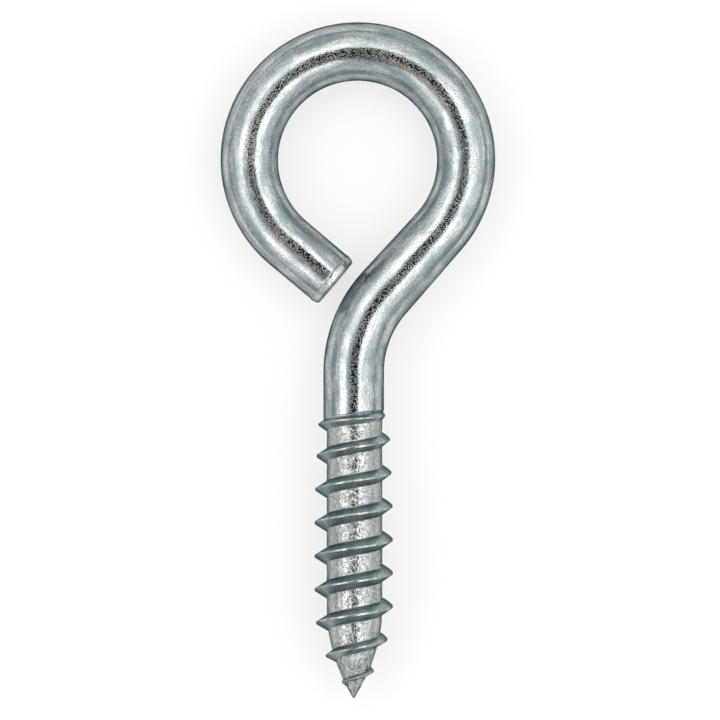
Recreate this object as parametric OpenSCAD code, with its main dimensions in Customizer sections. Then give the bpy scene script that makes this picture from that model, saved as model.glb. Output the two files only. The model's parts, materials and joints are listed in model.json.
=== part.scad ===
// Screw eye: one length of round steel wire, rolled with a wood screw thread at one end and
// bent into an open eye at the other. It lies on a flat surface as it comes to rest, on the
// far side of its eye and on one crest of its thread.
//
// The wire is drawn on the bench: its centreline lies in the plane z = 0 and runs from the
// point, at the origin, along +Y. It bends to the right and then all the way round to the left.

/* [Wire] */
// Diameter of the wire in the plain shank
wire_d = 6; // [5.4:0.1:6.4]
// How much thinner bending leaves the wire round the eye
eye_draw = 0.25; // [0.05:0.05:0.5]
// How much thinner still the wire is at its cut end
end_draw = 0.15; // [0.05:0.05:0.5]

/* [Eye] */
// Inside diameter of the eye
eye_inner_d = 15.7; // [13:0.1:19]
// How far the wire turns round the eye, in degrees
eye_turn = 271.8; // [266:0.1:276]
// Distance from the shank's axis to the centre of the eye
eye_offset = 0.4; // [0:0.1:1.5]
// Gap between the cut end and the bend that it points at
mouth_gap = 1.4; // [1:0.1:3]

/* [Neck] */
// Plain length between the thread and the bend
shank_len = 4.5; // [3:0.1:12]
// Centreline radius of the bend
neck_bend_r = 11.8; // [9:0.1:14]
// How far the bend turns away from the shank, in degrees
neck_lean = 41.8; // [38:0.1:46]

/* [Cut end] */
// How far the burr stands out from the wire
burr = 0.1; // [0.04:0.01:0.2]
// Length of wire over which the burr swells
burr_len = 0.9; // [0.7:0.1:1.5]
// Radius round the edge of the cut face
end_round = 0.55; // [0.3:0.05:0.65]

/* [Thread] */
// Length from the point to the shoulder where the plain shank starts
thread_len = 27.8; // [20:0.1:40]
// Distance from one crest to the next
pitch = 3.3; // [2.8:0.05:3.6]
// How far the crest rises above the wire
crest_rise = 0.9; // [0.6:0.05:1.2]
// How deep the root is rolled below the wire
root_sink = 0.25; // [0.15:0.05:0.4]
// Width of the ridge where it meets the root
ridge_w = 1.75; // [1.4:0.05:2.2]
// Width of the rounded top of the ridge
crest_w = 0.34; // [0.2:0.02:0.5]
// Length over which the ridge gets lower towards the shank
runout_len = 12; // [6:0.5:14]
// How much of its height the ridge loses over that length
runout_loss = 0.45; // [0.2:0.05:0.6]

/* [Point] */
// Length over which the core tapers to the point
point_len = 9; // [7:0.1:12]
// Height above the point where the ridge starts
ridge_start = 1; // [0.9:0.1:1.6]
// Direction in which the ridge starts, in degrees round the screw
start_angle = 187.5; // [0:7.5:360]

/* [Hidden] */
$fn = 96;

wire_r = wire_d / 2;
eye_wire_r = wire_r - eye_draw / 2;
end_wire_r = eye_wire_r - end_draw / 2;
root_r = wire_r - root_sink;
ridge_h = root_sink + crest_rise;
hair = 0.01;
reach_back = 0.05;

// ---- the wire's course on the bench ----
eye_r = eye_inner_d / 2 + eye_wire_r; // centreline radius of the eye
neck_y = thread_len + shank_len;
neck_centre = [neck_bend_r, neck_y];
// The leg between the two bends is as long as brings the eye back over the shank.
neck_width = neck_bend_r * (1 - cos(neck_lean));
leg_len = (eye_offset + eye_r * cos(neck_lean) - neck_width) / sin(neck_lean);
leg_dir = [sin(neck_lean), cos(neck_lean)];
leg_start = neck_centre + neck_bend_r * [-leg_dir.y, leg_dir.x];
eye_centre = leg_start + leg_len * leg_dir + eye_r * [-leg_dir.y, leg_dir.x];

// The tail runs straight out of the eye towards the neck's bend and stops short of it.
tail_heading = neck_lean - eye_turn; // from +Y, clockwise
tail_dir = [sin(tail_heading), cos(tail_heading)];
tail_start = eye_centre + eye_r * [tail_dir.y, -tail_dir.x];
to_neck = neck_centre - tail_start;
tail_miss = to_neck.x * tail_dir.y - to_neck.y * tail_dir.x; // how far off-centre it points
tail_reach = to_neck * tail_dir;
tail_stop = neck_bend_r + wire_r + mouth_gap;
tail_len = tail_reach - sqrt(pow(tail_stop, 2) - pow(tail_miss, 2));

// ---- the thread ----
steps = 48; // in one turn
// The ridge's section, with the distance from its middle as a share of its width, and its
// height as a share of the full height: the feet are hollow and the crest is rounded.
crest_at = crest_w / ridge_w / 2;
foot_at = crest_at + 0.7 * (0.5 - crest_at);
ridge_section = [
    [-0.5, 0], [-foot_at, 0.16], [-crest_at, 0.9], [0, 1], [crest_at, 0.9], [foot_at, 0.16], [0.5, 0]
];
rows = len(ridge_section);
shoulder_len = 0.5; // of the slope from the root up to the shank
ridge_end = thread_len + pitch / 2; // where the ridge has gone
thread_steps = ceil((ridge_end + pitch / 4 - ridge_start) / pitch * steps);

function clamp01(x) = max(0, min(1, x));
// The core is a cylinder that tapers to the point in a parabola.
function core_r(z) = root_r * (1 - pow(1 - clamp01(z / point_len), 2));
// The ridge grows up from the point, gets lower towards the shank, and ends in half a turn.
function grow(z) = pow(clamp01((z - ridge_start) / (point_len - ridge_start)), 0.45);
function sink(z) = 1 - runout_loss * pow(clamp01((z - ridge_end + runout_len) / runout_len), 1.5);
function fade(z) = grow(z) * sink(z) * clamp01((ridge_end - z) / (pitch / 2));
// The last turn lies flatter than the rest, against the shoulder.
function flatten(z) = let (past = max(0, z - thread_len + pitch / 2) / pitch)
    z < thread_len - pitch / 2 ? z : thread_len + pitch * (0.5 - exp(-past));

// Step i is a place along the helix. Row j is a place across the ridge, and the row past the
// last one is the first row of the next turn.
function ridge_z(i) = ridge_start + pitch * i / steps;
function row_z(i, j) =
    j == rows ? row_z(i + steps, 0)
    : flatten(ridge_z(i) + ridge_section[j][0] * ridge_w * (0.45 + 0.55 * fade(ridge_z(i))));
function row_r(i, j) =
    core_r(row_z(i, j)) + (j == rows ? 0 : ridge_h * ridge_section[j][1] * fade(ridge_z(i)));
function on_thread(i, r, z) = let (a = start_angle + 360 * i / steps) [r * cos(a), r * sin(a), z];
// The first turn stands on a lead-in that grows from nothing to one pitch high.
function lead_z(i, j) = row_z(0, 0) + (row_z(0, j) - row_z(0, 0)) * i / steps;

thread_points = [for (i = [0:thread_steps], j = [0:rows - 1]) on_thread(i, row_r(i, j), row_z(i, j))];
top_points = [for (i = [thread_steps - steps + 1:thread_steps]) on_thread(i, row_r(i, rows), row_z(i, rows))];
lead_points = [for (i = [1:steps - 1], j = [0:rows - 1]) on_thread(i, core_r(lead_z(i, j)), lead_z(i, j))];
top_z = (row_z(thread_steps, 0) + row_z(thread_steps, rows)) / 2; // hidden in the shank
end_points = [[0, 0, top_z], [0, 0, 0]];

top_at = len(thread_points);
lead_at = top_at + len(top_points);
end_at = lead_at + len(lead_points);
function at(i, j) =
    j < rows ? i * rows + j
    : i + steps <= thread_steps ? at(i + steps, 0)
    : top_at + i - (thread_steps - steps + 1);
function lead(i, j) =
    j == rows ? at(i, 0)
    : i == 0 ? at(0, 0)
    : i == steps ? at(0, j)
    : lead_at + (i - 1) * rows + j;
// The corners of the top's edge, round the last turn and down its end.
top_edge = [
    for (i = [thread_steps - steps:thread_steps]) at(i, rows),
    for (j = [rows - 1:-1:0]) at(thread_steps, j)
];
thread_faces = [
    for (i = [0:thread_steps - 1], j = [0:rows - 1]) [at(i, j), at(i, j + 1), at(i + 1, j + 1)],
    for (i = [0:thread_steps - 1], j = [0:rows - 1]) [at(i, j), at(i + 1, j + 1), at(i + 1, j)],
    for (i = [1:steps - 1], j = [0:rows - 1]) [lead(i, j), lead(i, j + 1), lead(i + 1, j + 1)],
    for (i = [0:steps - 1], j = [0:rows - 1]) [lead(i, j), lead(i + 1, j + 1), lead(i + 1, j)],
    for (i = [0:steps - 1]) [lead(i, 0), lead(i + 1, 0), end_at + 1],
    for (k = [0:len(top_edge) - 2]) [top_edge[k + 1], top_edge[k], end_at]
];

// ---- how it comes to rest ----
far_y = eye_centre.y + eye_r; // centreline of the eye's far side
crests = [for (k = [0:floor(thread_len / pitch)]) ridge_start + pitch * (k + (90 - start_angle) / 360)];
// The tilt at which the eye's far side and a crest at this height both touch the surface
function tilt_on(z) = let (r = core_r(z) + ridge_h * fade(z), y = far_y - flatten(z))
    atan2(r, y) - asin(eye_wire_r / norm([y, r]));
rest_tilt = max([for (z = crests) if (z > ridge_start) tilt_on(z)]);
rest_length = far_y * cos(rest_tilt) + eye_wire_r;
rest_height = far_y * sin(rest_tilt) + eye_wire_r;

module straight(length, r1, r2) {
    rotate([-90, 0, 0]) cylinder(h = length, r1 = r1, r2 = r2);
}

// The wire leaves a bend a hair thinner than the bend, and is rooted a little inside it.
module straight_on(length, r1, r2) {
    translate([0, -reach_back, 0]) straight(length + reach_back, r1 - hair, r2);
}

module bend_left(bend_r, angle, r) {
    translate([-bend_r, 0, 0]) rotate_extrude(angle = angle) translate([bend_r, 0]) circle(r);
}

module bend_right(bend_r, angle, r) {
    mirror([1, 0, 0]) bend_left(bend_r, angle, r);
}

module after_bend_left(bend_r, angle) {
    translate([-bend_r, 0, 0]) rotate([0, 0, angle]) translate([bend_r, 0, 0]) children();
}

module after_bend_right(bend_r, angle) {
    translate([bend_r, 0, 0]) rotate([0, 0, -angle]) translate([-bend_r, 0, 0]) children();
}

// The end sheared off the bar: the wire swells into a burr and turns over into the face.
module cut_end() {
    lip_r = end_wire_r + burr;
    rotate([-90, 0, 0]) rotate_extrude() {
        polygon([[0, 0], [end_wire_r, 0], [lip_r, burr_len - end_round], [lip_r - end_round, burr_len], [0, burr_len]]);
        intersection() {
            translate([lip_r - end_round, burr_len - end_round]) circle(end_round);
            square([lip_r, burr_len]);
        }
    }
}

module rolled_thread() {
    rotate([-90, 0, 0])
        polyhedron(concat(thread_points, top_points, lead_points, end_points), thread_faces, convexity = 10);
}

module bent_wire() {
    translate([0, thread_len - shoulder_len / 2, 0])
        straight(shoulder_len, root_r - root_sink, wire_r);
    translate([0, thread_len + shoulder_len / 2, 0])
        straight(shank_len - shoulder_len / 2, wire_r, wire_r);
    translate([0, neck_y, 0]) {
        bend_right(neck_bend_r, neck_lean, wire_r);
        after_bend_right(neck_bend_r, neck_lean) {
            straight_on(leg_len, wire_r, eye_wire_r);
            translate([0, leg_len, 0]) {
                bend_left(eye_r, eye_turn, eye_wire_r);
                after_bend_left(eye_r, eye_turn) {
                    straight_on(tail_len - burr_len, eye_wire_r, end_wire_r);
                    translate([0, tail_len - burr_len, 0]) cut_end();
                }
            }
        }
    }
}

module screw_eye() {
    color("silver")
        translate([-eye_centre.x, -rest_length / 2, rest_height]) rotate([-rest_tilt, 0, 0]) {
            bent_wire();
            rolled_thread();
        }
}

screw_eye();
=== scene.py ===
import json
import math
import bmesh
import bpy
from mathutils import Matrix, Vector, noise


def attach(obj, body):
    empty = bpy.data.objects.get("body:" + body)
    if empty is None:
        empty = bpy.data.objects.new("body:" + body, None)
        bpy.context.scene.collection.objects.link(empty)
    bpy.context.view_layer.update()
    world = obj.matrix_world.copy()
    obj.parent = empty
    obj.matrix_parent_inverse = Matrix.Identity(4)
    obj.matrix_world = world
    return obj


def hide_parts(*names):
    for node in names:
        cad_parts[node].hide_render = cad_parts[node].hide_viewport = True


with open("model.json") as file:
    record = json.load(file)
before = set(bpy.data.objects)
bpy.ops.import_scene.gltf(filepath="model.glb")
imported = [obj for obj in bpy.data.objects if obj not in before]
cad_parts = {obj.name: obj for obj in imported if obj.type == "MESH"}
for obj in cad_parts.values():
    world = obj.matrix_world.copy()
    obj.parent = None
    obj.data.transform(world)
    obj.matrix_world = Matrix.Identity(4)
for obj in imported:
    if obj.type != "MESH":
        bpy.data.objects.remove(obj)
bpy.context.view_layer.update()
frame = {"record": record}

MM = 0.001

# ---- the wire, in millimetres and degrees ----
WIRE_R = 3.0
EYE_WIRE_R = 2.875
END_WIRE_R = 2.8
SHANK_LEN = 4.5
NECK_BEND_R = 11.8
NECK_LEAN = 41.8
EYE_R = 7.85 + EYE_WIRE_R
EYE_TURN = 271.8
EYE_OFFSET = 0.4  # from the screw's axis to the eye's centre
SQUEEZE = 0.12  # how far bending carries the wire's highest line toward the inside of the eye
MOUTH_GAP = 1.4

# ---- the cut end, in millimetres and degrees ----
BURR = 0.1
BURR_LEN = 0.9
BURR_RISE = 0.06  # length of each of the burr's two steps up
BEVEL_DROP = 0.13
EDGE_R = 0.26
EDGE_FROM = 15  # how steeply the rounded edge leaves the bevel
EDGE_STEP = 15

# ---- the thread, in millimetres; heights are above the point ----
THREAD_LEN = 27.8
PITCH = 3.3
POINT_LEN = 9.0
ROOT_R = 2.75
CORE_SHIFT = 0.03  # how far the core sits to one side, as a share of its radius
TIP_Z = 0.13  # the point is rounded off a little
TIP_R = 0.16
RIDGE_START = 1.0
RIDGE_LEAD = 0.26  # how far before its start the ridge begins to rise
START_ANGLE = 187.5
FIRST_LIFT = 0.75  # how far the ridge's start is pushed up from the point
RIDGE_H = 1.15
RIDGE_W = 1.75
CREST_W = 0.17
CREST_EDGE = 0.015  # how closely the crest's two edges turn
FOOT = 0.885  # from the ridge's middle to its foot
FLANK_FULL = 0.05  # how full the flank toward the shank is, as a share of the ridge's height
RUNOUT_LEN = 12.0
RUNOUT_LOSS = 0.45
RIDGE_END = THREAD_LEN + PITCH / 2
RIM_Z = THREAD_LEN + 1.1  # where the thread's skin ends in a flat ring
SHOULDER_UP = 0.35  # the shoulder's edge lies this far past the thread's length
SHOULDER_STEP = 0.3
SHOULDER_RUN = 0.22
ROOT_DENT = 0.012
POINT_DENT = 0.03
FLUTE_DENT = 0.09

# ---- how finely it is drawn ----
AROUND = 96  # faces round the wire, and steps in one turn of the thread
STEP = 0.25  # along the wire, in millimetres

# ---- the finish: where it changes, its tones, and how deep its marks are in metres ----
MARKS = ("flank", "crumpled", "rubbed", "sheared")
DULL_ZINC = (0.345, 0.40, 0.42, 1)
PALE_ZINC = (0.65, 0.675, 0.68, 1)
DRAWN_ZINC = (0.275, 0.335, 0.355, 1)
SPECKED_ZINC = (0.26, 0.30, 0.31, 1)
FLANK_ZINC = (0.41, 0.485, 0.50, 1)
ROLLED_ZINC = (0.53, 0.545, 0.53, 1)
FOLDED_ZINC = (0.13, 0.15, 0.155, 1)
RUBBED_ZINC = (0.64, 0.645, 0.63, 1)
# bare sheared metal, made paler still as painted light, so that the shaded face and its reflection in the
# neck look brighter
SHEARED_FACE_BARE_AND_LIT = (0.80, 0.85, 0.86, 1)
EDGE_SHADE_TINT = (0.05, 0.08, 0.09, 1)  # painted shade: the reflection darkens where the surface turns away, along outlines and rims
STREAK_DEPTH = 0.000006
FLOW_DEPTH = 0.000012
CREASE_DEPTH = 0.00011
GROOVE_DEPTH = 0.00003
GRAIN_DEPTH = 0.0000098
FOLD_DEPTH = 0.00028
PIT_DEPTH = 0.0000062
FOLDS_FROM = 0.0065  # the point's folds fade in between these two heights
FOLDS_FULL = 0.0035
FLANK_ROUGHNESS = 0.24
SHEARED_ROUGHNESS = 0.6

# ---- the studio, in metres; its light lies by degrees from an axis ----
CAMERA_HEIGHT = 0.65
CAMERA_X = 0.000226
CAMERA_Y = 0.000058
SENSOR_WIDTH = 36
VIEW_WIDTH = 0.07118
VIEW_HEIGHT = WIRE_R * 1.2 * MM  # the view is VIEW_WIDTH wide at this height
FLOOR_RADIUS = 2.5
FLOOR_COLOUR = (0.9, 0.9, 0.9)
FLOOR_GLOW = 0.66  # share of the floor that looks white even in the shadow
LIGHT_LEVEL = 1.92  # over ramps that hold half the light
COOL_WHITE = Vector((0.94, 0.985, 1.01))
WARM_WHITE = Vector((1.09, 1.0, 0.935))
TENT = ((0, 0.74), (40, 0.77), (62, 0.80), (75, 0.72), (84, 0.63), (90, 0.6))
RING = ((0, 0), (21.5, 0), (24, 1.3), (26.5, 1.85), (37, 1.75), (43, 1.0), (49, 0.4), (58, 0.15), (67, 0))
WINDOW = (0.5, 0.5, 0.49, 1)
DARK_OPENING = (0.02, 0.02, 0.021, 1)
DARK_SKIRT = (0.07, 0.08, 0.085, 1)
BROWN_PATCH = (0.33, 0.21, 0.16, 1)


def clamp01(x):
    return max(0.0, min(1.0, x))


# ---- the thread's form, by height above the point ----

def core_r(z):
    cone = ROOT_R * (1 - (1 - clamp01(z / POINT_LEN)) ** 2)
    up = z - TIP_Z
    return cone if up > TIP_R else min(cone, math.sqrt(up * (2 * TIP_R - up)))


def shoulder_r(z, turn):
    """The wire's full skin ends in an edge that follows the last ridge round."""
    edge = THREAD_LEN + SHOULDER_UP + 0.4 * math.cos(turn) - 0.17 * math.sin(turn)
    return WIRE_R - SHOULDER_STEP * (1 - clamp01((z - edge + SHOULDER_RUN) / SHOULDER_RUN)) ** 1.5


def ridge_share(z):
    """The ridge rises from the point, sinks toward the shank and dies out against the shoulder."""
    grow = clamp01((z - RIDGE_START + RIDGE_LEAD) / (POINT_LEN - RIDGE_START)) ** 0.45
    sink = 1 - RUNOUT_LOSS * clamp01((z - RIDGE_END + RUNOUT_LEN) / RUNOUT_LEN) ** 1.5
    return grow * sink * clamp01((RIDGE_END + 0.45 - z) / (PITCH / 2))


def flatten(z):
    """The first and last turns lie flatter than the rest, by the point and against the shoulder."""
    if z < RIDGE_START:
        return z * (1 + FIRST_LIFT / RIDGE_START)
    start = THREAD_LEN - PITCH / 2
    if z < start:
        return z + FIRST_LIFT * math.exp(RIDGE_START - z)
    return THREAD_LEN + PITCH * (0.5 - math.exp(-(z - start) / PITCH))


def ridge_section():
    """Across one pitch, from root to root: distance from the ridge's middle and share of its height."""
    low, high = 0.09, 0.95
    wide = RIDGE_W / 2 - 0.13
    crest = CREST_W / 2
    narrow = crest + CREST_EDGE
    # flat root, rounded foot, straight flank, and the crest's edge
    side = [(PITCH / 2, 0.0), (1.45, 0.0), (1.25, 0.0), (1.05, 0.0), (FOOT, 0.0)]
    side += [(wide + 0.07, 0.012), (wide + 0.02, 0.05)]
    side += [(wide + (narrow - wide) * up, low + (high - low) * up) for up in (0, 0.25, 0.5, 0.75, 0.97, 1)]
    side += [(crest, 0.968), (crest - CREST_EDGE, 0.975)]
    return [(-x, share) for x, share in side] + [(0.0, 0.98)] + list(reversed(side))


def up_screw(middle, x, height):
    """Height above the point of what lies x from the ridge's middle. A low ridge is narrower."""
    crest = flatten(middle)
    root = flatten(middle + math.copysign(PITCH / 2, x))
    # a foot draws in to a tenth of its width by the point, and to a third against the shoulder
    narrow = 0.1 + 0.9 * height ** 1.4 if middle < POINT_LEN else 0.32 + 0.68 * height
    foot = min(FOOT * narrow, 0.85 * abs(root - crest))
    if abs(x) < FOOT:
        return crest + foot * x / FOOT
    share = (abs(x) - FOOT) / (PITCH / 2 - FOOT)
    near = crest + math.copysign(foot, x)
    return near + (root - near) * share


def dent(spot, z):
    """Rolling leaves the roots a little uneven, and the point fluted."""
    coarse = noise.noise(spot * 1.3 + Vector((7, 3, 1)))
    fine = noise.noise(spot * 3.4)
    flutes = noise.noise(Vector((spot.x * 2.6, spot.y * 2.6, spot.z * 0.6)))
    near_point = clamp01(1 - z / 4)
    depth = (ROOT_DENT + POINT_DENT * near_point) * (coarse + 0.7 * fine) + FLUTE_DENT * near_point * flutes
    return depth * clamp01((z - TIP_Z) / 0.8) * clamp01((THREAD_LEN - 0.5 - z) / 0.5)


def thread_skin(bm, layers):
    """Spin the section up the screw, then draw it in to the point and out to the shoulder."""
    low = RIDGE_START - 2 * PITCH
    turns = math.ceil((RIM_Z + 2 * PITCH - low) / PITCH)
    rise = PITCH / AROUND
    line = []
    for x, share in ridge_section():
        v = bm.verts.new((1, 0, low + x))
        v[layers["share"]] = share
        v[layers["across"]] = x
        line.append(v)
    edges = [bm.edges.new(pair) for pair in zip(line, line[1:])]
    bmesh.ops.spin(bm, geom=line + edges, cent=(0, 0, 0), axis=(0, 0, 1), angle=math.tau,
                   steps=AROUND, dvec=(0, 0, rise))
    first_turn = bm.verts[:] + bm.edges[:] + bm.faces[:]
    for i in range(1, turns):
        made = bmesh.ops.duplicate(bm, geom=first_turn)["geom"]
        verts = [g for g in made if isinstance(g, bmesh.types.BMVert)]
        bmesh.ops.translate(bm, vec=(0, 0, PITCH * i), verts=verts)

    for v in bm.verts:
        share = v[layers["share"]]
        x = v[layers["across"]]
        middle = low + round((v.co.z - x - low) / rise) * rise
        height = ridge_share(middle)
        z = max(up_screw(middle, x, height), TIP_Z)
        turn = math.radians(START_ANGLE) + math.tau * (middle - RIDGE_START) / PITCH
        if x > 0 and share < 0.96:
            share += FLANK_FULL * (1 + math.cos(turn)) * math.sin(math.pi * share)
        r = core_r(z) * (1 + CORE_SHIFT * math.cos(turn) * (1 - share)) + RIDGE_H * share * height
        if z > THREAD_LEN - 0.5:
            r = max(r, shoulder_r(z, turn))
        if z >= RIM_Z:
            z = RIM_Z
            r = WIRE_R
        elif z <= TIP_Z:
            r = 0
        out = Vector((math.cos(turn), math.sin(turn), 0))
        spot = out * r + Vector((0, 0, z))
        v.co = spot + out * dent(spot, z)
        raised = clamp01(share * height * 12)
        v[layers["flank"]] = raised * clamp01((0.97 - share) * 100)  # not on the crest
        rolled = max(1 - raised, 0.8 * clamp01((5 - z) / 3))  # the roots, and all of the point
        v[layers["crumpled"]] = rolled * clamp01((THREAD_LEN - 0.1 - z) / 0.2)

    bmesh.ops.remove_doubles(bm, verts=bm.verts, dist=1e-4)
    bmesh.ops.dissolve_degenerate(bm, dist=1e-5, edges=bm.edges)
    for v in bm.verts:
        v[layers["straight"]] = v.co * MM


# ---- the bent wire, swept on from the thread's rim ----

class Sweep:
    """Carries an open ring along the wire. Its place's z runs along the wire and x across the bends."""

    def __init__(self, bm, layers, z, r):
        self.bm = bm
        self.layers = layers
        self.place = Matrix.Translation((0, 0, z))
        self.r = r
        self.gone = z
        self.squeeze = 0
        self.edges = [e for e in bm.edges if e.is_boundary]

    def step(self, move, length, r):
        made = bmesh.ops.extrude_edge_only(self.bm, edges=self.edges)["geom"]
        verts = [g for g in made if isinstance(g, bmesh.types.BMVert)]
        self.edges = [g for g in made if isinstance(g, bmesh.types.BMEdge) and g.is_boundary]
        grow = Matrix.Diagonal((r / self.r, r / self.r, 1, 1))
        bmesh.ops.transform(self.bm, matrix=self.place @ move @ grow @ self.place.inverted(), verts=verts)
        self.place = self.place @ move
        self.r = r
        self.gone += length
        back = self.place.inverted()
        across = self.place.to_3x3() @ Vector((1, 0, 0))
        for v in verts:
            flat = back @ v.co
            v[self.layers["squeeze"]] = across * self.squeeze * (flat.y / r) ** 2
            v[self.layers["straight"]] = Vector((flat.x, flat.y, self.gone)) * MM
            for name in MARKS:
                v[self.layers[name]] = 0

    def mark(self, name, value):
        for e in self.edges:
            for v in e.verts:
                v[self.layers[name]] = value

    def push(self, length, r):
        self.squeeze = 0
        self.step(Matrix.Translation((0, 0, length)), length, r)

    def bend(self, bend_r, degrees, r, squeeze=0):
        """To the right, or to the left where bend_r is negative. Tight bends squeeze the section."""
        length = abs(bend_r) * math.radians(degrees)
        steps = round(length / STEP)
        turn = Matrix.Rotation(math.copysign(math.radians(degrees) / steps, bend_r), 4, "Y")
        move = Matrix.Translation((bend_r, 0, 0)) @ turn @ Matrix.Translation((-bend_r, 0, 0))
        start = self.r
        for i in range(steps):
            self.squeeze += 0.15 * (squeeze - self.squeeze)
            self.step(move, length / steps, start + (r - start) * (i + 1) / steps)


def leg_length():
    """From the neck's bend to the eye, so that the eye's centre lies its offset from the screw's axis."""
    lean = math.radians(NECK_LEAN)
    return (EYE_OFFSET + EYE_R * math.cos(lean) - NECK_BEND_R * (1 - math.cos(lean))) / math.sin(lean)


def tail_length():
    """From the eye to the cut face, which stops short of the neck's bend by the mouth's gap."""
    lean = math.radians(NECK_LEAN)
    heading = math.radians(NECK_LEAN - EYE_TURN)
    way = Vector((math.sin(heading), math.cos(heading)))
    leg = Vector((math.sin(lean), math.cos(lean)))
    left = Vector((-leg.y, leg.x))
    neck = Vector((NECK_BEND_R, THREAD_LEN + SHANK_LEN))
    centre = neck + NECK_BEND_R * left + leg_length() * leg + EYE_R * left
    start = centre + EYE_R * Vector((way.y, -way.x))
    to_neck = neck - start
    miss = to_neck.x * way.y - to_neck.y * way.x
    stop = NECK_BEND_R + WIRE_R + MOUTH_GAP
    return to_neck.dot(way) - math.sqrt(stop ** 2 - miss ** 2)


def cut_end(sweep):
    """The wire steps up into a burr, slopes away, rolls over and closes in the sheared face."""
    lip = END_WIRE_R + BURR * 0.6
    sweep.push(BURR_RISE, END_WIRE_R + BURR * 0.4)
    sweep.push(BURR_RISE, lip)
    sweep.mark("crumpled", 0.25)
    bevel = BURR_LEN - EDGE_R - 2 * BURR_RISE
    for length, drop in ((0.3, 0.3), (0.3, 0.6), (0.4, 1.0)):
        sweep.push(bevel * length, lip - BEVEL_DROP * drop)
        sweep.mark("crumpled", 0.35)
        sweep.mark("rubbed", 0.7)
    face_r = lip - BEVEL_DROP - EDGE_R
    reach = 1 - math.sin(math.radians(EDGE_FROM))
    for degrees in range(EDGE_FROM, 90, EDGE_STEP):
        before = math.radians(degrees)
        after = math.radians(degrees + EDGE_STEP)
        length = EDGE_R * (math.sin(after) - math.sin(before)) / reach
        sweep.push(length, face_r + EDGE_R * math.cos(after))
        sweep.mark("crumpled", 0.25)
    for share in (0.97, 0.85, 0.68, 0.5, 0.33, 0.16):
        sweep.push(0, face_r * share)
        sweep.mark("sheared", 1)
    middle = sweep.place @ Vector((0, 0, 0))
    last = list(dict.fromkeys(v for e in sweep.edges for v in e.verts))
    bmesh.ops.pointmerge(sweep.bm, verts=last, merge_co=middle)


def bench_to_row():
    """The wire's own frame, with z along the screw and y away from the eye's face, in the row's."""
    mounts = {m["name"]: m for m in frame["record"]["mounts"]}
    screw = -Vector(mounts["thread"]["axis"]).normalized()
    face = Vector(mounts["eye"]["axis"]).normalized()
    point = Vector(mounts["thread"]["pos_m"]) - screw * THREAD_LEN * MM
    turn = Matrix((screw.cross(face), -face, screw)).transposed().to_4x4()
    return Matrix.Translation(point) @ turn @ Matrix.Scale(MM, 4)


def screw_eye():
    bm = bmesh.new()
    layers = {name: bm.verts.layers.float.new(name) for name in ("share", "across", *MARKS)}
    for name in ("straight", "squeeze"):
        layers[name] = bm.verts.layers.float_vector.new(name)
    thread_skin(bm, layers)
    wire = Sweep(bm, layers, RIM_Z, WIRE_R)
    wire.push(0.1, WIRE_R)
    wire.push(THREAD_LEN + SHANK_LEN - RIM_Z - 0.1, WIRE_R)
    wire.bend(NECK_BEND_R, NECK_LEAN, WIRE_R)
    wire.push(leg_length(), EYE_WIRE_R)
    wire.bend(-EYE_R, EYE_TURN * 0.45, EYE_WIRE_R + 0.03, -SQUEEZE)
    wire.bend(-EYE_R, EYE_TURN * 0.55, END_WIRE_R + 0.02, -SQUEEZE)
    wire.push(tail_length() - BURR_LEN - 0.1, END_WIRE_R)
    wire.push(0.1, END_WIRE_R)
    cut_end(wire)
    for v in bm.verts:
        v.co += v[layers["squeeze"]]
    bmesh.ops.transform(bm, matrix=bench_to_row(), verts=bm.verts)
    bmesh.ops.recalc_face_normals(bm, faces=bm.faces)
    for face in bm.faces:
        face.smooth = True
    mesh = bpy.data.meshes.new("screw_eye_wire")
    bm.to_mesh(mesh)
    bm.free()
    for name in ("share", "across", "squeeze"):
        mesh.attributes.remove(mesh.attributes[name])
    mesh.materials.append(zinc_plate())
    piece = bpy.data.objects.new("screw_eye_wire", mesh)
    bpy.context.scene.collection.objects.link(piece)
    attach(piece, "root")
    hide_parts("screw_eye")


# ---- the finish ----

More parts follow.
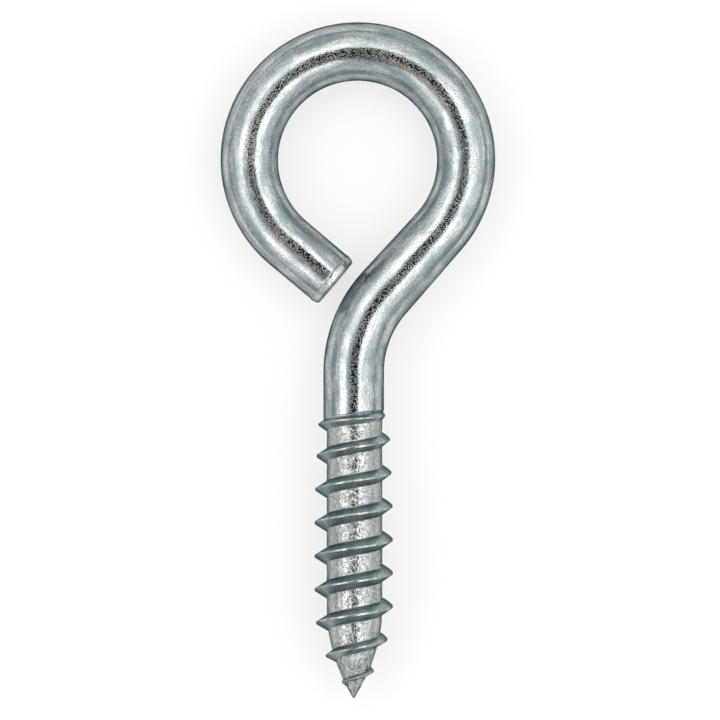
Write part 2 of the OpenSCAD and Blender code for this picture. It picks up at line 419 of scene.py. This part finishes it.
class Nodes:
    """Short hands for laying out shader nodes in a tree."""

    def __init__(self, tree):
        self.tree = tree

    def node(self, kind, inputs=None, **settings):
        made = self.tree.nodes.new("ShaderNode" + kind)
        for key, value in settings.items():
            setattr(made, key, value)
        for key, value in (inputs or {}).items():
            if isinstance(value, bpy.types.NodeSocket):
                self.tree.links.new(value, made.inputs[key])
            else:
                made.inputs[key].default_value = value
        return made

    def maths(self, operation, a, b=0.0, clamp=False):
        return self.node("Math", {0: a, 1: b}, operation=operation, use_clamp=clamp).outputs[0]

    def times(self, a, b):
        return self.maths("MULTIPLY", a, b)

    def dot(self, a, b):
        return self.node("VectorMath", {0: a, 1: b}, operation="DOT_PRODUCT").outputs["Value"]

    def ramp(self, value, low, high, bottom=0.0, top=1.0, smooth=False):
        made = self.node("MapRange", {"Value": value, "From Min": low, "From Max": high,
                                      "To Min": bottom, "To Max": top})
        if smooth:
            made.interpolation_type = "SMOOTHSTEP"
        return made.outputs[0]

    def blend(self, factor, a, b, blend_type="MIX"):
        made = self.node("Mix", data_type="RGBA", blend_type=blend_type)
        for socket, value in ((0, factor), (6, a), (7, b)):
            if isinstance(value, bpy.types.NodeSocket):
                self.tree.links.new(value, made.inputs[socket])
            else:
                made.inputs[socket].default_value = value
        return made.outputs[2]

    def stops(self, value, stops):
        """A run of colours, given as (position, colour) pairs."""
        made = self.node("ValToRGB", {0: value})
        made.color_ramp.interpolation = "B_SPLINE"
        elements = made.color_ramp.elements
        while len(elements) < len(stops):
            elements.new(0.5)
        for element, (position, colour) in zip(elements, stops):
            element.position = position
            element.color = (*colour, 1)
        return made.outputs[0]

    def noise(self, vector, stretch, scale, detail, roughness, distortion=0.0):
        """Stretch is by x, y and z, and scale is in blotches a metre."""
        placed = self.node("Mapping", {"Vector": vector, "Scale": stretch})
        made = self.node("TexNoise", {"Vector": placed.outputs[0], "Scale": scale, "Detail": detail,
                                      "Roughness": roughness, "Distortion": distortion})
        return made.outputs[0]

    def bump(self, height, depth, under=None):
        inputs = {"Height": height, "Distance": depth}
        if under is not None:
            inputs["Normal"] = under
        return self.node("Bump", inputs).outputs[0]


def new_material(name):
    material = bpy.data.materials.new(name)
    material.use_nodes = True
    return material, Nodes(material.node_tree), material.node_tree.nodes["Principled BSDF"]


def zinc_plate():
    """Bright zinc over drawn wire: mirror-like, with grain, lengthwise draw marks and rolled roots."""
    material, look, shader = new_material("zinc_plate")
    # straight is each point's place on the wire before it was bent, in metres
    straight = look.node("Attribute", attribute_name="straight").outputs["Vector"]
    flank, crumpled, rubbed, sheared = (look.node("Attribute", attribute_name=name).outputs["Fac"]
                                        for name in MARKS)

    grain = look.noise(straight, (1, 1, 0.8), 8500, 2.0, 0.6)
    pits = look.noise(straight, (1, 1, 0.9), 9500, 0.0, 0.5)
    specks = look.noise(straight, (1, 1, 0.7), 8000, 1.0, 0.5)
    streaks = look.noise(straight, (1, 1, 0.06), 5200, 3.0, 0.6)
    flow = look.noise(straight, (1, 1, 0.35), 1300, 2.0, 0.5)
    creases = look.noise(straight, (1, 1, 1), 1700, 2.0, 0.5, distortion=0.6)
    crinkles = look.noise(straight, (1, 1, 1), 2500, 1.0, 0.5, distortion=0.8)
    cloud = look.noise(straight, (1, 1, 0.45), 900, 4.0, 0.6)
    drawn = look.noise(straight, (1, 1, 0.08), 2200, 3.0, 0.65)
    plain = look.maths("SUBTRACT", 1.0, look.times(crumpled, 0.5))
    height = look.node("SeparateXYZ", {0: straight}).outputs["Z"]
    point = look.times(look.ramp(height, FOLDS_FROM, FOLDS_FULL, smooth=True), crumpled)

    normal = look.bump(streaks, STREAK_DEPTH)
    normal = look.bump(flow, FLOW_DEPTH, normal)
    normal = look.bump(look.times(creases, crumpled), CREASE_DEPTH, normal)
    groove = look.ramp(look.maths("ABSOLUTE", look.maths("SUBTRACT", crinkles, 0.5)), 0.0, 0.05, smooth=True)
    normal = look.bump(look.times(groove, crumpled), GROOVE_DEPTH, normal)
    normal = look.bump(look.times(grain, plain), GRAIN_DEPTH, normal)
    folds = look.noise(straight, (1, 1, 0.22), 2600, 2.0, 0.6, distortion=0.5)
    normal = look.bump(look.times(folds, point), FOLD_DEPTH, normal)
    pitted = look.times(look.ramp(pits, 0.54, 0.68, smooth=True), plain)
    normal = look.bump(pitted, PIT_DEPTH, normal)

    tint = look.blend(look.ramp(cloud, 0.4, 0.6), DULL_ZINC, PALE_ZINC)
    tint = look.blend(look.ramp(drawn, 0.48, 0.64, 0.0, 0.75), tint, DRAWN_ZINC)
    tint = look.blend(look.ramp(specks, 0.44, 0.64, 0.0, 0.6), tint, SPECKED_ZINC)
    tint = look.blend(look.times(flank, 0.6), tint, FLANK_ZINC)
    tint = look.blend(look.times(crumpled, 0.6), tint, ROLLED_ZINC)
    dark_folds = look.times(look.ramp(folds, 0.52, 0.66), point)
    tint = look.blend(look.times(dark_folds, 0.75), tint, FOLDED_ZINC)
    tint = look.blend(rubbed, tint, RUBBED_ZINC)
    # the sheared face: bare metal, plus painted light that lightens it against its shade
    tint = look.blend(look.times(sheared, 0.9), tint, SHEARED_FACE_BARE_AND_LIT)
    gloss = look.ramp(cloud, 0.3, 0.7, 0.07, 0.045)
    gloss = look.maths("MAXIMUM", gloss, look.times(flank, FLANK_ROUGHNESS))
    gloss = look.maths("MAXIMUM", gloss, look.times(sheared, SHEARED_ROUGHNESS))
    look.tree.links.new(tint, shader.inputs["Base Color"])
    look.tree.links.new(gloss, shader.inputs["Roughness"])
    look.tree.links.new(normal, shader.inputs["Normal"])
    shader.inputs["Metallic"].default_value = 1.0
    # the dark edge tint paints shade along the outlines and rims
    shader.inputs["Specular Tint"].default_value = EDGE_SHADE_TINT
    return material


# ---- the studio ----

def floor():
    """A sheet of white paper, which the object shades."""
    material, look, shader = new_material("floor_paper")
    shader.inputs["Base Color"].default_value = (*FLOOR_COLOUR, 1)
    shader.inputs["Roughness"].default_value = 1.0
    shader.inputs["Specular IOR Level"].default_value = 0.0
    ray = look.node("LightPath").outputs
    seen = look.maths("ADD", ray["Is Camera Ray"], ray["Is Glossy Ray"])
    seen = look.maths("ADD", seen, ray["Is Transmission Ray"], clamp=True)
    white = look.node("Emission", {"Color": (1, 1, 1, 1), "Strength": 1.0})
    mixed = look.node("MixShader", {0: look.times(seen, FLOOR_GLOW), 1: shader.outputs[0],
                                    2: white.outputs[0]})
    look.tree.links.new(mixed.outputs[0], look.tree.nodes["Material Output"].inputs["Surface"])
    bm = bmesh.new()
    bmesh.ops.create_circle(bm, cap_ends=True, segments=64, radius=FLOOR_RADIUS)
    mesh = bpy.data.meshes.new("floor")
    bm.to_mesh(mesh)
    bm.free()
    mesh.materials.append(material)
    sheet = bpy.data.objects.new("floor", mesh)
    bpy.context.scene.collection.objects.link(sheet)


def direction(azimuth, polar):
    a = math.radians(azimuth)
    p = math.radians(polar)
    return Vector((math.sin(p) * math.cos(a), math.sin(p) * math.sin(a), math.cos(p)))


def half_light(colour, levels):
    """Stops for a ramp over 90 degrees, with half the light, so that its colours stay near 1 at most."""
    return [(degrees / 90, colour * level / 2) for degrees, level in levels]


def studio_air():
    """A pale tent with a dark opening overhead and a ring of light round it, left unlit at the front."""
    world = bpy.data.worlds.new("studio_air")
    world.use_nodes = True
    air = Nodes(world.node_tree)
    way = air.node("TexCoord").outputs["Generated"]

    def from_axis(axis):
        return air.ramp(air.maths("ARCCOSINE", air.dot(way, axis)), 0, math.pi / 2)

    tent = air.stops(from_axis(direction(0, 0)), half_light(COOL_WHITE, TENT))
    ring = air.stops(from_axis(direction(217, 10)), half_light(WARM_WHITE, RING))
    flat = air.node("VectorMath", {0: way, 1: (1, 1, 0)}, operation="MULTIPLY").outputs[0]
    round_about = air.node("VectorMath", {0: flat}, operation="NORMALIZE").outputs[0]
    lit = air.ramp(air.dot(round_about, direction(258, 90)), 0.84, 0.94, 1.0, 0.0, smooth=True)
    light = air.blend(lit, tent, ring, "ADD")
    window = air.ramp(air.dot(way, direction(5, 47)), 0.7, 0.97, 0.0, 0.52, smooth=True)
    light = air.blend(window, light, WINDOW, "ADD")
    opening = air.node("Mapping", {"Vector": way, "Location": (0.028, -0.085, 0), "Rotation": (0, 0, -0.25),
                                   "Scale": (0.29, 0.45, 1000)}, vector_type="TEXTURE").outputs[0]
    opening = air.node("VectorMath", {0: opening}, operation="LENGTH").outputs["Value"]
    light = air.blend(air.ramp(opening, 0.92, 1.06, smooth=True), DARK_OPENING, light)
    low = air.node("SeparateXYZ", {0: way}).outputs["Z"]
    light = air.blend(air.ramp(low, 0.055, 0.11, smooth=True), DARK_SKIRT, light)
    brown = air.ramp(air.dot(way, direction(231, 16)), math.cos(math.radians(9)),
                     math.cos(math.radians(5)), 0.0, 0.9, smooth=True)
    light = air.blend(brown, light, BROWN_PATCH)
    shade = world.node_tree.nodes["Background"]
    air.tree.links.new(light, shade.inputs["Color"])
    shade.inputs["Strength"].default_value = LIGHT_LEVEL
    bpy.context.scene.world = world


def camera():
    """Straight above, far enough off that the eye shows no perspective to speak of."""
    lens = bpy.data.cameras.new("camera")
    lens.sensor_width = SENSOR_WIDTH
    lens.lens = SENSOR_WIDTH * (CAMERA_HEIGHT - VIEW_HEIGHT) / VIEW_WIDTH
    lens.clip_start = 0.01
    view = bpy.data.objects.new("camera", lens)
    view.location = (CAMERA_X, CAMERA_Y, CAMERA_HEIGHT)
    bpy.context.scene.collection.objects.link(view)
    bpy.context.scene.camera = view


bpy.context.scene.view_settings.view_transform = "Standard"
screw_eye()
floor()
studio_air()
camera()
